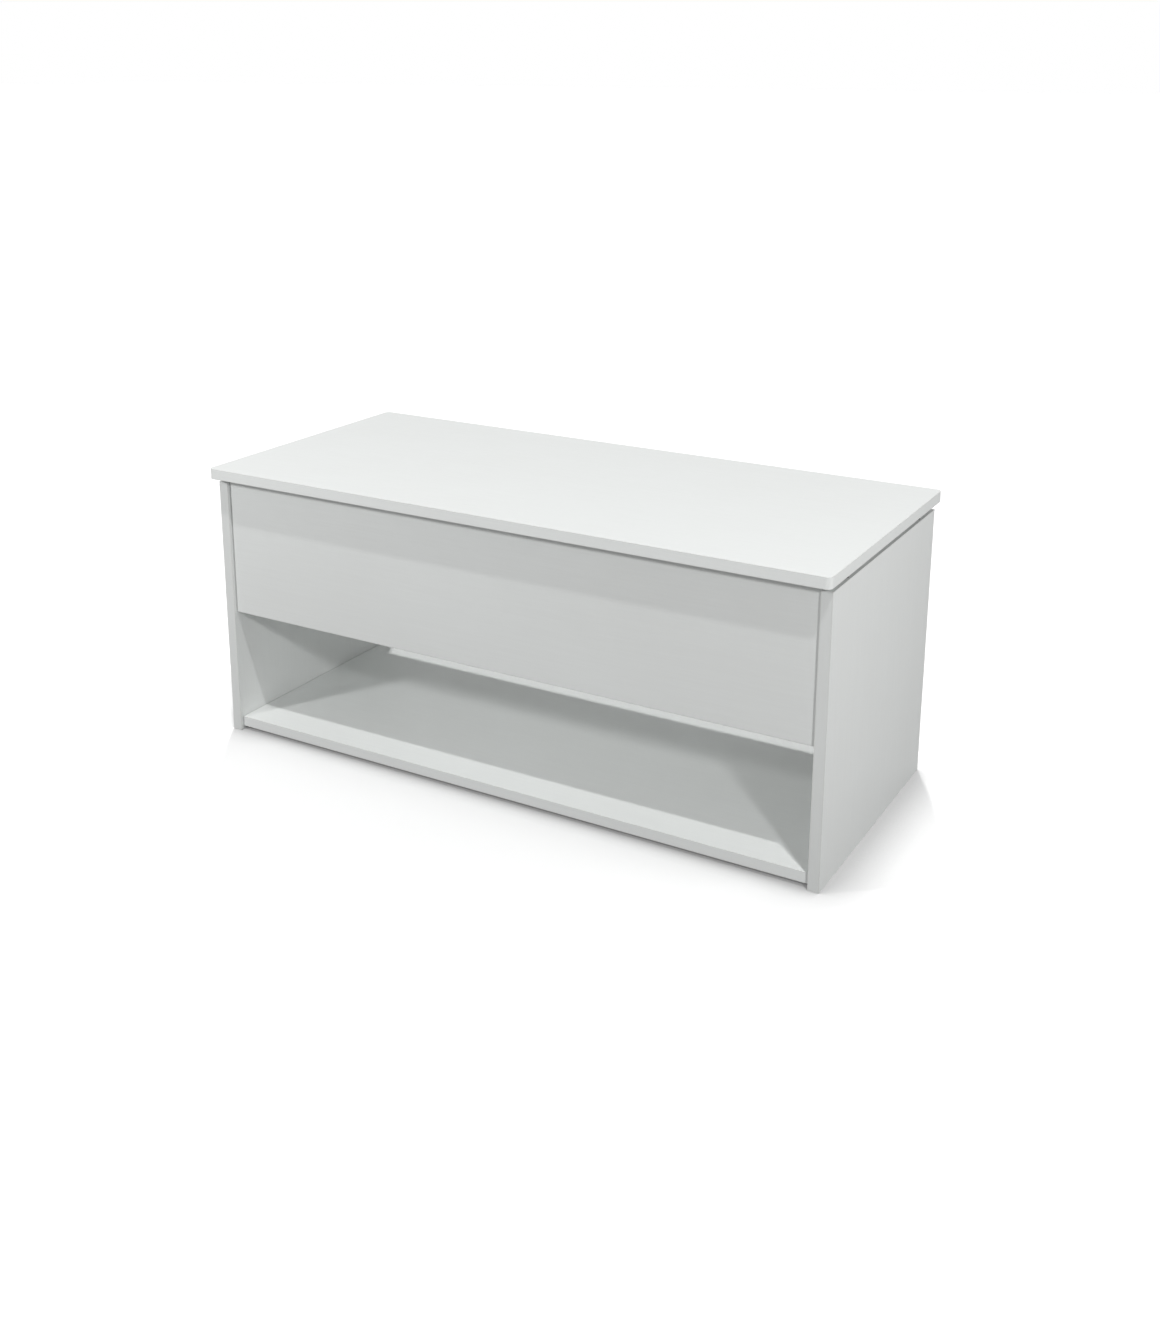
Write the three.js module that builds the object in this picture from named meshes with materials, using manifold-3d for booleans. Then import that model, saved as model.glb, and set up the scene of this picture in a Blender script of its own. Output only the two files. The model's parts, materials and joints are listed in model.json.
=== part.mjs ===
// Lift top coffee table: a white board carcass with an open lower shelf and a hidden compartment,
// under a lid that rises and comes forward on two sprung parallelogram hinges.
// Millimetres. X runs along the table, Y from front to back, Z up.
// The origin is on the floor, under the middle of the lid.

import * as THREE from 'three';
import { mergeVertices } from 'three/addons/utils/BufferGeometryUtils.js';
import Module from 'manifold-3d';

const wasm = await Module();
wasm.setup();

// ---------------------------------------------------------------- driving dimensions: boards

const LID_LENGTH = 1000;
const LID_DEPTH = 450;
const TABLE_HEIGHT = 435;          // floor to the lid's upper face
const BOARD = 16;                  // thickness of every board
const LID_CORNER_RADIUS = 8;
const LID_OVERHANG_SIDE = 3;       // lid past the side panels' outer faces
const LID_OVERHANG_FRONT = 18;     // lid past the side panels' front edges
const LID_OVERHANG_BACK = 22;
const LID_GAP = 8;                 // open line between the lid and the carcass, set by the bumpers
const PANEL_RECESS = 5;            // cross boards stand back from the side panels' edges
const END_JOINT = 0.8;             // open joint at each end of a cross board
const FACE_JOINT = 0.3;            // between pieces that touch
const FRONT_PANEL_HEIGHT = 211;
const FLOOR_RAISE = 2;             // compartment floor above the front panel's lower edge
const SHELF_CLEARANCE = 6.5;       // floor to the bottom shelf's underside

// ---------------------------------------------------------------- driving dimensions: lift hinges

const BRACKET_STEEL = 2.5;
const ARM_STEEL = 3;
const ARM_SPACE = 1.5;             // free space on each side of an arm
const ARM_WIDTH = 20;
const HUB_RADIUS = 12;             // round ends of arms and brackets
const OPEN_ANGLE = 120;            // arm direction when open, in degrees up from straight back
const PIVOT_SPACING = 60;          // between the front and rear pivots of one bracket
const PIVOT_TILT = 25;             // degrees that the front pivot stands above the rear one
const PIVOT_DROP = 66;             // front base pivot below the side panels' top edge
const LID_PIVOT_DROP = 25;         // front lid pivot below the lid's underside
const REAR_CLEARANCE = 25;         // rear lid pivot to the back panel, closed
const PANEL_CLEARANCE = 7;         // open front arm to the front panel's top edge
const PIN_RADIUS = 4;
const PIN_HEAD_RADIUS = 7;
const PIN_HEAD = 2;                // thickness of a pin's head
const PIN_PLAY = 0.2;              // radial play of a pin in its holes, and side play of its shoulders
const RAIL_HEIGHT = 30;            // solid lower strip of a base bracket
const RAIL_MARGIN = 22;            // base bracket ahead of its front pivot
const FOOT_FLANGE = 25;            // base bracket's flange on the compartment floor
const LID_FLANGE = 24;             // lid bracket's flange under the lid
const LID_BRACKET_REACH = 50;      // lid bracket ahead of its front pivot

// ---------------------------------------------------------------- driving dimensions: springs

const SPRING_ARM = 32;             // spring post to pivot, on the rear arm's tail
const TAIL_RADIUS = 9;
const SPRING_SHORT = 75;           // between its posts, lid open
const SPRING_RADIUS = 7;
const SPRING_STANDOFF = 9.7;       // spring centreline to the arm's inner face
const POST_RADIUS = 3;
const POST_GROOVE_RADIUS = 2.2;
const POST_GROOVE = 4;             // width of the groove that holds the spring's hook
const POST_FLANGE_RADIUS = 5;
const POST_FLANGE = 2;
const SPRING_HOOK = 9;             // hook between the coil's end and its post
const HOOK_RADIUS = 1.4;

// ---------------------------------------------------------------- driving dimensions: fasteners, pads

const SCREW_RADIUS = 1.75;
const SCREW_LENGTH = 11;           // under the head
const SCREW_HEAD_RADIUS = 4;
const SCREW_HEAD = 2.2;
const SCREW_HOLE_RADIUS = 2.3;     // in the brackets
const PILOT_PLAY = 0.3;            // pilot hole round and past a screw, nail or stem
const CAM_RADIUS = 7.5;
const CAM_DEPTH = 12;
const CAM_INSET = 30;              // cam centre from the board's end
const CAM_MARGIN = 45;             // cam centre from the board's upper and lower edges
const BUMPER_RADIUS = 5;
const BUMPER_STEM_RADIUS = 2.5;
const BUMPER_STEM = 8;
const BUMPER_INSET = 60;           // from the side panel's front and back edges
const GLIDE_RADIUS = 5;
const GLIDE_SIDE_INSET = 7;        // glide centre from the side panel's inner face
const GLIDE_EDGE_INSET = 13;       // glide centre from the shelf's front and back edges
const NAIL_RADIUS = 1;
const NAIL_LENGTH = 9;

// ---------------------------------------------------------------- smoothness of round shapes

const ARC_STEPS = 4;               // steps in each quarter of a plate's round end
const HOLE_SIDES = 16;
const TURNED_SIDES = 12;
const SMALL_SIDES = 8;
const MERGE_DISTANCE = 1e-4;

// ---------------------------------------------------------------- places worked out from them

const degrees = Math.PI / 180;

const lidUnderside = TABLE_HEIGHT - BOARD;
const carcassTop = lidUnderside - LID_GAP;
const sideOuter = LID_LENGTH / 2 - LID_OVERHANG_SIDE;
const sideInner = sideOuter - BOARD;
const sideFront = -LID_DEPTH / 2 + LID_OVERHANG_FRONT;
const sideBack = LID_DEPTH / 2 - LID_OVERHANG_BACK;
const crossFront = sideFront + PANEL_RECESS;
const crossBack = sideBack - PANEL_RECESS;
const crossEnd = sideInner - END_JOINT;
const roomFront = crossFront + BOARD;
const roomBack = crossBack - BOARD;
const panelBottom = carcassTop - FRONT_PANEL_HEIGHT;
const floorBottom = panelBottom + FLOOR_RAISE;
const floorTop = floorBottom + BOARD;
const shelfTop = SHELF_CLEARANCE + BOARD;

// Side view of one hinge, as points (Y, Z). The four pivots are a parallelogram, so the lid stays level.
const openDirection = OPEN_ANGLE * degrees;
const panelReach = ARM_WIDTH / 2 + PANEL_CLEARANCE - PIVOT_DROP * Math.cos(openDirection);
const frontSetback = panelReach / Math.sin(openDirection);
const toRearPivot = new THREE.Vector2(PIVOT_SPACING, 0)
  .rotateAround(new THREE.Vector2(), -PIVOT_TILT * degrees);
const baseFrontPivot = new THREE.Vector2(roomFront + frontSetback, carcassTop - PIVOT_DROP);
const baseRearPivot = baseFrontPivot.clone().add(toRearPivot);
const lidFrontPivot = new THREE.Vector2(
  roomBack - REAR_CLEARANCE - toRearPivot.x,
  lidUnderside - LID_PIVOT_DROP,
);
const lidRearPivot = lidFrontPivot.clone().add(toRearPivot);
const closedDirection = lidRearPivot.clone().sub(baseRearPivot).angle();
const swing = openDirection - closedDirection;

// The arm's tail is set so that its spring post stands at one height both closed and open.
const tailSide = SPRING_ARM * Math.sin(swing / 2);
const tailDrop = SPRING_ARM * Math.cos(swing / 2);
const armPost = new THREE.Vector2(baseRearPivot.x - tailSide, baseRearPivot.y - tailDrop);
const basePost = new THREE.Vector2(baseRearPivot.x + tailSide + SPRING_SHORT, armPost.y);

// Layers of one hinge, measured inwards from the side panel's inner face.
const basePlateOuter = FACE_JOINT;
const basePlateInner = basePlateOuter + BRACKET_STEEL;
const armOuter = basePlateInner + ARM_SPACE;
const armInner = armOuter + ARM_STEEL;
const lidPlateOuter = armInner + ARM_SPACE;
const lidPlateInner = lidPlateOuter + BRACKET_STEEL;
const springLayer = armInner + SPRING_STANDOFF;
const footInner = basePlateOuter + FOOT_FLANGE;
const lidFlangeInner = lidPlateOuter + LID_FLANGE;

const footBottom = floorTop + FACE_JOINT;
const railTop = footBottom + RAIL_HEIGHT;
const railFront = baseFrontPivot.x - RAIL_MARGIN;
const railBack = basePost.x + HUB_RADIUS;
const baseScrewHeight = footBottom + RAIL_HEIGHT / 2;
const baseScrewPlaces = [baseFrontPivot.x - SCREW_HEAD_RADIUS, baseRearPivot.x, basePost.x];

const flangeTop = lidUnderside - FACE_JOINT;
const flangeBottom = flangeTop - BRACKET_STEEL;
const lidBracketFront = lidFrontPivot.x - LID_BRACKET_REACH;
const lidBracketBack = lidRearPivot.x + HUB_RADIUS;
const lidScrewLayer = (lidPlateInner + lidFlangeInner) / 2;
const lidScrewPlaces = [
  lidBracketFront + HUB_RADIUS,
  (lidBracketFront + lidBracketBack) / 2,
  lidBracketBack - HUB_RADIUS,
];

const bumperPlaces = { front: sideFront + BUMPER_INSET, back: sideBack - BUMPER_INSET };
const glidePlaces = { front: crossFront + GLIDE_EDGE_INSET, back: crossBack - GLIDE_EDGE_INSET };
const camHeights = { lower: panelBottom + CAM_MARGIN, upper: carcassTop - CAM_MARGIN };
const camPlace = crossEnd - CAM_INSET;

// ---------------------------------------------------------------- materials

const whiteBoard = new THREE.MeshStandardMaterial({ color: 0xe6e7e6, roughness: 0.5, metalness: 0 });
const hingeSteel = new THREE.MeshStandardMaterial({ color: 0x2b2c2e, roughness: 0.45, metalness: 0.6 });
const zincSteel = new THREE.MeshStandardMaterial({ color: 0xb9bcbf, roughness: 0.35, metalness: 1 });
const springSteel = new THREE.MeshStandardMaterial({ color: 0x8d9093, roughness: 0.3, metalness: 1 });
const blackPlastic = new THREE.MeshStandardMaterial({ color: 0x1b1c1d, roughness: 0.55, metalness: 0 });
const darkRubber = new THREE.MeshStandardMaterial({ color: 0x232323, roughness: 0.85, metalness: 0 });

// ---------------------------------------------------------------- solids: joining and cutting

function toSolid(geometry) {
  const bare = geometry.clone();
  bare.deleteAttribute('normal');
  bare.deleteAttribute('uv');
  const merged = mergeVertices(bare, MERGE_DISTANCE);
  return new wasm.Manifold(new wasm.Mesh({
    numProp: 3,
    vertProperties: merged.attributes.position.array,
    triVerts: new Uint32Array(merged.index.array),
  }));
}

function toGeometry(solid) {
  const mesh = solid.getMesh();
  const geometry = new THREE.BufferGeometry();
  geometry.setAttribute('position', new THREE.BufferAttribute(mesh.vertProperties, 3));
  geometry.setIndex(new THREE.BufferAttribute(mesh.triVerts, 1));
  geometry.computeVertexNormals();
  return geometry;
}

function joined(...geometries) {
  return toGeometry(geometries.map(toSolid).reduce((whole, piece) => whole.add(piece)));
}

function cutBy(geometry, cutters) {
  return toGeometry(cutters.map(toSolid).reduce((left, cutter) => left.subtract(cutter), toSolid(geometry)));
}

// ---------------------------------------------------------------- shapes

// A box between two corners, each [x, y, z].
function block(low, high) {
  const size = high.map((value, i) => value - low[i]);
  const middle = high.map((value, i) => (value + low[i]) / 2);
  return new THREE.BoxGeometry(...size).translate(...middle);
}

// A turned piece along `axis`. The profile lists [radius, place along the axis], rising,
// and both of its ends are on the axis.
function turned(profile, axis, sides = TURNED_SIDES) {
  const points = profile.map(([radius, along]) => new THREE.Vector2(radius, along));
  const geometry = new THREE.LatheGeometry(points, sides);
  if (axis === 'x') return geometry.rotateZ(-Math.PI / 2);
  if (axis === 'z') return geometry.rotateX(Math.PI / 2);
  return geometry;
}

// A plain round bar along `axis` from `start` to `end`, with its centreline through `place`.
function bar(radius, axis, start, end, place, sides = HOLE_SIDES) {
  return turned([[0, start], [radius, start], [radius, end], [0, end]], axis, sides).translate(...place);
}

// A flat plate of a (Y, Z) outline, from one layer to another along X.
function plate(shape, outer, inner) {
  const flat = new THREE.ExtrudeGeometry(shape, {
    depth: inner - outer,
    bevelEnabled: false,
    curveSegments: 2 * ARC_STEPS,
  });
  const sideways = new THREE.Matrix4().makeBasis(
    new THREE.Vector3(0, 1, 0),
    new THREE.Vector3(0, 0, 1),
    new THREE.Vector3(1, 0, 0),
  );
  return flat.applyMatrix4(sideways).translate(outer, 0, 0);
}

// The outline of a bar with round ends, between two points.
function link(from, to, radius) {
  const along = to.clone().sub(from).angle();
  const shape = new THREE.Shape();
  shape.absarc(to.x, to.y, radius, along - Math.PI / 2, along + Math.PI / 2);
  shape.absarc(from.x, from.y, radius, along + Math.PI / 2, along + 1.5 * Math.PI);
  shape.closePath();
  return shape;
}

function disc(centre, radius) {
  return new THREE.Shape().absarc(centre.x, centre.y, radius, 0, 2 * Math.PI);
}

function pivotHole(pivot, radius) {
  const through = lidPlateInner + ARM_SPACE;
  return bar(radius, 'x', -ARM_SPACE, through, [0, pivot.x, pivot.y]);
}

// ---------------------------------------------------------------- boards

function lidBoard() {
  const halfLength = LID_LENGTH / 2 - LID_CORNER_RADIUS;
  const halfDepth = LID_DEPTH / 2 - LID_CORNER_RADIUS;
  const outline = new THREE.Shape();
  outline.absarc(halfLength, halfDepth, LID_CORNER_RADIUS, 0, Math.PI / 2);
  outline.absarc(-halfLength, halfDepth, LID_CORNER_RADIUS, Math.PI / 2, Math.PI);
  outline.absarc(-halfLength, -halfDepth, LID_CORNER_RADIUS, Math.PI, 1.5 * Math.PI);
  outline.absarc(halfLength, -halfDepth, LID_CORNER_RADIUS, 1.5 * Math.PI, 2 * Math.PI);
  outline.closePath();
  const slab = new THREE.ExtrudeGeometry(outline, {
    depth: BOARD,
    bevelEnabled: false,
    curveSegments: ARC_STEPS,
  }).translate(0, 0, lidUnderside);
  const pilotTop = flangeBottom + SCREW_LENGTH + PILOT_PLAY;
  const pilots = lidScrewPlaces.flatMap((y) => [-1, 1].map((side) => {
    const place = [side * (sideInner - lidScrewLayer), y, 0];
    return bar(SCREW_RADIUS + PILOT_PLAY, 'z', flangeBottom, pilotTop, place, SMALL_SIDES);
  }));
  return cutBy(slab, pilots);
}

// A side panel, drilled for the hinge's base screws and for the bumpers' stems.
function sidePanel(side) {
  const inner = side * sideInner;
  const outer = side * sideOuter;
  const slab = block(
    [Math.min(inner, outer), sideFront, 0],
    [Math.max(inner, outer), sideBack, carcassTop],
  );
  const screwReach = SCREW_LENGTH - BRACKET_STEEL + PILOT_PLAY;
  const tip = inner + side * screwReach;
  const pilots = baseScrewPlaces.map((y) => bar(
    SCREW_RADIUS + PILOT_PLAY,
    'x',
    Math.min(tip, inner - side),
    Math.max(tip, inner - side),
    [0, y, baseScrewHeight],
    SMALL_SIDES,
  ));
  const sockets = Object.values(bumperPlaces).map((y) => bar(
    BUMPER_STEM_RADIUS + PILOT_PLAY,
    'z',
    carcassTop - BUMPER_STEM - PILOT_PLAY,
    carcassTop + 1,
    [(inner + outer) / 2, y, 0],
    SMALL_SIDES,
  ));
  return cutBy(slab, [...pilots, ...sockets]);
}

// The front or back panel, with pockets for its cam locks in the face towards the compartment.
function uprightPanel(outerFace, innerFace) {
  const inwards = Math.sign(innerFace - outerFace);
  const slab = block(
    [-crossEnd, Math.min(outerFace, innerFace), panelBottom],
    [crossEnd, Math.max(outerFace, innerFace), carcassTop],
  );
  const bottom = innerFace - inwards * (CAM_DEPTH + PILOT_PLAY);
  const mouth = innerFace + inwards;
  const pockets = Object.values(camHeights).flatMap((z) => [-1, 1].map((side) => bar(
    CAM_RADIUS + PILOT_PLAY,
    'y',
    Math.min(bottom, mouth),
    Math.max(bottom, mouth),
    [side * camPlace, 0, z],
    TURNED_SIDES,
  )));
  return cutBy(slab, pockets);
}

function compartmentFloor() {
  return block(
    [-crossEnd, roomFront + FACE_JOINT, floorBottom],
    [crossEnd, roomBack - FACE_JOINT, floorTop],
  );
}

function bottomShelf() {
  const slab = block([-crossEnd, crossFront, SHELF_CLEARANCE], [crossEnd, crossBack, shelfTop]);
  const pilotTop = SHELF_CLEARANCE + NAIL_LENGTH + PILOT_PLAY;
  const pilots = Object.values(glidePlaces).flatMap((y) => [-1, 1].map((side) => {
    const place = [side * (sideInner - GLIDE_SIDE_INSET), y, 0];
    return bar(NAIL_RADIUS + PILOT_PLAY, 'z', SHELF_CLEARANCE - 1, pilotTop, place, SMALL_SIDES);
  }));
  return cutBy(slab, pilots);
}

// ---------------------------------------------------------------- lift hinge, in its own frame
// X runs inwards from the side panel's inner face, and Y and Z are the table's own.

function frontArm() {
  const blank = joined(
    plate(link(baseFrontPivot, lidFrontPivot, ARM_WIDTH / 2), armOuter, armInner),
    plate(disc(baseFrontPivot, HUB_RADIUS), armOuter, armInner),
    plate(disc(lidFrontPivot, HUB_RADIUS), armOuter, armInner),
  );
  const holes = [baseFrontPivot, lidFrontPivot].map((p) => pivotHole(p, PIN_RADIUS + PIN_PLAY));
  return cutBy(blank, holes);
}

// The rear arm is a bell crank: its tail reaches past the base pivot to the spring.
function rearArm() {
  const blank = joined(
    plate(link(baseRearPivot, lidRearPivot, ARM_WIDTH / 2), armOuter, armInner),
    plate(link(baseRearPivot, armPost, TAIL_RADIUS), armOuter, armInner),
    plate(disc(baseRearPivot, HUB_RADIUS), armOuter, armInner),
    plate(disc(lidRearPivot, HUB_RADIUS), armOuter, armInner),
  );
  const holes = [baseRearPivot, lidRearPivot].map((p) => pivotHole(p, PIN_RADIUS + PIN_PLAY));
  return cutBy(blank, [...holes, pivotHole(armPost, POST_RADIUS + PIN_PLAY)]);
}

// A pressed steel angle: an upright plate on the side panel, and a foot on the compartment floor.
function baseBracket() {
  const below = (point) => new THREE.Vector2(point.x, railTop);
  const web = new THREE.Shape([
    below(baseFrontPivot),
    below(basePost),
    basePost,
    baseRearPivot,
    baseFrontPivot,
  ]);
  const blank = joined(
    block([basePlateOuter, railFront, footBottom], [basePlateInner, railBack, railTop]),
    block([basePlateOuter, railFront, footBottom], [footInner, railBack, footBottom + BRACKET_STEEL]),
    plate(web, basePlateOuter, basePlateInner),
    plate(link(below(baseFrontPivot), baseFrontPivot, HUB_RADIUS), basePlateOuter, basePlateInner),
    plate(link(baseFrontPivot, baseRearPivot, HUB_RADIUS), basePlateOuter, basePlateInner),
    plate(link(baseRearPivot, basePost, HUB_RADIUS), basePlateOuter, basePlateInner),
    plate(link(below(basePost), basePost, HUB_RADIUS), basePlateOuter, basePlateInner),
  );
  const pivots = [baseFrontPivot, baseRearPivot].map((p) => pivotHole(p, PIN_RADIUS + PIN_PLAY));
  const screws = baseScrewPlaces.map((y) => bar(
    SCREW_HOLE_RADIUS,
    'x',
    0,
    armOuter,
    [0, y, baseScrewHeight],
    SMALL_SIDES,
  ));
  return cutBy(blank, [...pivots, pivotHole(basePost, POST_RADIUS + PIN_PLAY), ...screws]);
}

// The same angle upside down under the lid, with its upright plate inside the arms.
function lidBracket() {
  const web = new THREE.Shape([
    new THREE.Vector2(lidBracketFront, flangeTop),
    new THREE.Vector2(lidBracketFront, flangeBottom - BRACKET_STEEL),
    new THREE.Vector2(lidFrontPivot.x, lidFrontPivot.y - HUB_RADIUS),
    lidFrontPivot,
    lidRearPivot,
    new THREE.Vector2(lidBracketBack, lidRearPivot.y),
    new THREE.Vector2(lidBracketBack, flangeTop),
  ]);
  const blank = joined(
    plate(web, lidPlateOuter, lidPlateInner),
    plate(link(lidFrontPivot, lidRearPivot, HUB_RADIUS), lidPlateOuter, lidPlateInner),
    block([lidPlateOuter, lidBracketFront, flangeBottom], [lidFlangeInner, lidBracketBack, flangeTop]),
  );
  const pivots = [lidFrontPivot, lidRearPivot].map((p) => pivotHole(p, PIN_RADIUS + PIN_PLAY));
  const screws = lidScrewPlaces.map((y) => bar(
    SCREW_HOLE_RADIUS,
    'z',
    flangeBottom - 1,
    flangeTop + 1,
    [lidScrewLayer, y, 0],
    SMALL_SIDES,
  ));
  return cutBy(blank, [...pivots, ...screws]);
}

// A shouldered rivet: flush in the base bracket, a shoulder, the arm, and a head on the inner side.
function basePin() {
  const headStart = armInner + PIN_PLAY;
  return turned([
    [0, basePlateOuter],
    [PIN_RADIUS, basePlateOuter],
    [PIN_RADIUS, basePlateInner + PIN_PLAY],
    [PIN_HEAD_RADIUS, basePlateInner + PIN_PLAY],
    [PIN_HEAD_RADIUS, armOuter - PIN_PLAY],
    [PIN_RADIUS, armOuter - PIN_PLAY],
    [PIN_RADIUS, headStart],
    [PIN_HEAD_RADIUS, headStart],
    [PIN_HEAD_RADIUS, headStart + PIN_HEAD / 2],
    [PIN_RADIUS, headStart + PIN_HEAD],
    [0, headStart + PIN_HEAD],
  ], 'x');
}

// The same rivet for the lid's pivots: a thin head outside the arm, a shoulder, and a formed end.
function lidPin() {
  const headEnd = armOuter - PIN_PLAY;
  const endStart = lidPlateInner + PIN_PLAY;
  return turned([
    [0, headEnd - PIN_HEAD / 2],
    [PIN_HEAD_RADIUS, headEnd - PIN_HEAD / 2],
    [PIN_HEAD_RADIUS, headEnd],
    [PIN_RADIUS, headEnd],
    [PIN_RADIUS, armInner + PIN_PLAY],
    [PIN_HEAD_RADIUS, armInner + PIN_PLAY],
    [PIN_HEAD_RADIUS, lidPlateOuter - PIN_PLAY],
    [PIN_RADIUS, lidPlateOuter - PIN_PLAY],
    [PIN_RADIUS, endStart],
    [PIN_HEAD_RADIUS, endStart],
    [PIN_HEAD_RADIUS, endStart + PIN_HEAD / 2],
    [PIN_RADIUS, endStart + PIN_HEAD],
    [0, endStart + PIN_HEAD],
  ], 'x');
}

// A grooved stud that carries one end of the spring. `outer` and `inner` are its plate's two faces.
function springPost(outer, inner) {
  const grooveStart = springLayer - POST_GROOVE / 2;
  const grooveEnd = springLayer + POST_GROOVE / 2;
  return turned([
    [0, outer],
    [POST_RADIUS, outer],
    [POST_RADIUS, inner + PIN_PLAY],
    [POST_FLANGE_RADIUS, inner + PIN_PLAY],
    [POST_FLANGE_RADIUS, inner + PIN_PLAY + POST_FLANGE / 2],
    [POST_RADIUS, inner + PIN_PLAY + POST_FLANGE],
    [POST_RADIUS, grooveStart],
    [POST_GROOVE_RADIUS, grooveStart],
    [POST_GROOVE_RADIUS, grooveEnd],
    [POST_FLANGE_RADIUS, grooveEnd],
    [POST_FLANGE_RADIUS, grooveEnd + POST_FLANGE],
    [0, grooveEnd + POST_FLANGE],
  ], 'x');
}

// The outer shape of the stretched extension spring, lid closed: its coil, and a hook at each end.
function liftSpring() {
  const hookStart = armPost.x + POST_RADIUS;
  const hookEnd = basePost.x - POST_RADIUS;
  const coilStart = armPost.x + SPRING_HOOK;
  const coilEnd = basePost.x - SPRING_HOOK;
  return turned([
    [0, hookStart],
    [HOOK_RADIUS, hookStart],
    [HOOK_RADIUS, coilStart],
    [SPRING_RADIUS, coilStart],
    [SPRING_RADIUS, coilEnd],
    [HOOK_RADIUS, coilEnd],
    [HOOK_RADIUS, hookEnd],
    [0, hookEnd],
  ], 'y').translate(springLayer, 0, armPost.y);
}

// ---------------------------------------------------------------- fasteners and pads
// Each is made at its own reference point and placed by its mesh.

// A pan head screw along `axis`. Its seat is at 0 and its tip points up the axis.
function screw(axis) {
  const tip = SCREW_LENGTH;
  return turned([
    [0, -SCREW_HEAD],
    [SCREW_HEAD_RADIUS / 2, -SCREW_HEAD],
    [SCREW_HEAD_RADIUS, -SCREW_HEAD / 2],
    [SCREW_HEAD_RADIUS, 0],
    [SCREW_RADIUS, 0],
    [SCREW_RADIUS, tip - 2 * SCREW_RADIUS],
    [0, tip],
  ], axis, SMALL_SIDES);
}

function camLock() {
  return turned([[0, 0], [CAM_RADIUS, 0], [CAM_RADIUS, CAM_DEPTH], [0, CAM_DEPTH]], 'y');
}

// A push-in rubber bumper. Its flange's underside is at 0.
function bumper() {
  const height = LID_GAP - 2 * FACE_JOINT;
  return turned([
    [0, -BUMPER_STEM],
    [BUMPER_STEM_RADIUS, -BUMPER_STEM],
    [BUMPER_STEM_RADIUS, 0],
    [BUMPER_RADIUS, 0],
    [BUMPER_RADIUS, height / 2],
    [BUMPER_RADIUS / 2, height],
    [0, height],
  ], 'z');
}

// A nail-on glide. Its sole is at 0, on the floor, and its nail goes up into the shelf.
function glide() {
  const height = SHELF_CLEARANCE - FACE_JOINT;
  const edge = 1;
  return turned([
    [0, 0],
    [GLIDE_RADIUS - edge, 0],
    [GLIDE_RADIUS, edge],
    [GLIDE_RADIUS, height],
    [NAIL_RADIUS, height],
    [NAIL_RADIUS, SHELF_CLEARANCE + NAIL_LENGTH - NAIL_RADIUS],
    [0, SHELF_CLEARANCE + NAIL_LENGTH],
  ], 'z');
}

// ---------------------------------------------------------------- assembly

const table = new THREE.Group();
const sides = { left: -1, right: 1 };

function add(parent, name, geometry, material, place = [0, 0, 0]) {
  const mesh = new THREE.Mesh(geometry, material);
  mesh.name = name;
  mesh.position.set(...place);
  parent.add(mesh);
}

function addBoards() {
  add(table, 'lift_top', lidBoard(), whiteBoard);
  add(table, 'side_panel_left', sidePanel(sides.left), whiteBoard);
  add(table, 'side_panel_right', sidePanel(sides.right), whiteBoard);
  add(table, 'front_panel', uprightPanel(crossFront, roomFront), whiteBoard);
  add(table, 'back_panel', uprightPanel(crossBack, roomBack), whiteBoard);
  add(table, 'compartment_floor', compartmentFloor(), whiteBoard);
  add(table, 'bottom_shelf', bottomShelf(), whiteBoard);
}

// One hinge. The right one is the left one's mirror image.
function addHinge(name, side) {
  const hinge = new THREE.Group();
  hinge.position.x = side * sideInner;
  hinge.scale.x = -side;
  const place = (point) => [0, point.x, point.y];

  add(hinge, `base_bracket_${name}`, baseBracket(), hingeSteel);
  add(hinge, `lid_bracket_${name}`, lidBracket(), hingeSteel);
  add(hinge, `front_arm_${name}`, frontArm(), hingeSteel);
  add(hinge, `rear_arm_${name}`, rearArm(), hingeSteel);
  add(hinge, `lift_spring_${name}`, liftSpring(), springSteel);

  add(hinge, `base_pin_front_${name}`, basePin(), zincSteel, place(baseFrontPivot));
  add(hinge, `base_pin_rear_${name}`, basePin(), zincSteel, place(baseRearPivot));
  add(hinge, `lid_pin_front_${name}`, lidPin(), zincSteel, place(lidFrontPivot));
  add(hinge, `lid_pin_rear_${name}`, lidPin(), zincSteel, place(lidRearPivot));

  const armPostSolid = springPost(armOuter, armInner);
  const basePostSolid = springPost(basePlateOuter, basePlateInner);
  add(hinge, `spring_post_arm_${name}`, armPostSolid, zincSteel, place(armPost));
  add(hinge, `spring_post_base_${name}`, basePostSolid, zincSteel, place(basePost));

  const seat = basePlateInner + PIN_PLAY;
  baseScrewPlaces.forEach((y, i) => {
    const outwards = screw('x').rotateZ(Math.PI);
    add(hinge, `base_screw_${name}_${i + 1}`, outwards, zincSteel, [seat, y, baseScrewHeight]);
  });
  lidScrewPlaces.forEach((y, i) => {
    const under = flangeBottom - PIN_PLAY;
    add(hinge, `lid_screw_${name}_${i + 1}`, screw('z'), zincSteel, [lidScrewLayer, y, under]);
  });
  table.add(hinge);
}

function addSideFittings(name, side) {
  const edgeMiddle = side * (sideInner + sideOuter) / 2;
  for (const [end, y] of Object.entries(bumperPlaces)) {
    const seat = carcassTop + FACE_JOINT;
    add(table, `bumper_${end}_${name}`, bumper(), darkRubber, [edgeMiddle, y, seat]);
  }
  for (const [end, y] of Object.entries(glidePlaces)) {
    const place = [side * (sideInner - GLIDE_SIDE_INSET), y, 0];
    add(table, `glide_${end}_${name}`, glide(), blackPlastic, place);
  }
  for (const [level, z] of Object.entries(camHeights)) {
    const x = side * camPlace;
    add(table, `cam_lock_front_${name}_${level}`, camLock(), zincSteel, [x, roomFront - CAM_DEPTH, z]);
    add(table, `cam_lock_back_${name}_${level}`, camLock(), zincSteel, [x, roomBack, z]);
  }
}

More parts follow.
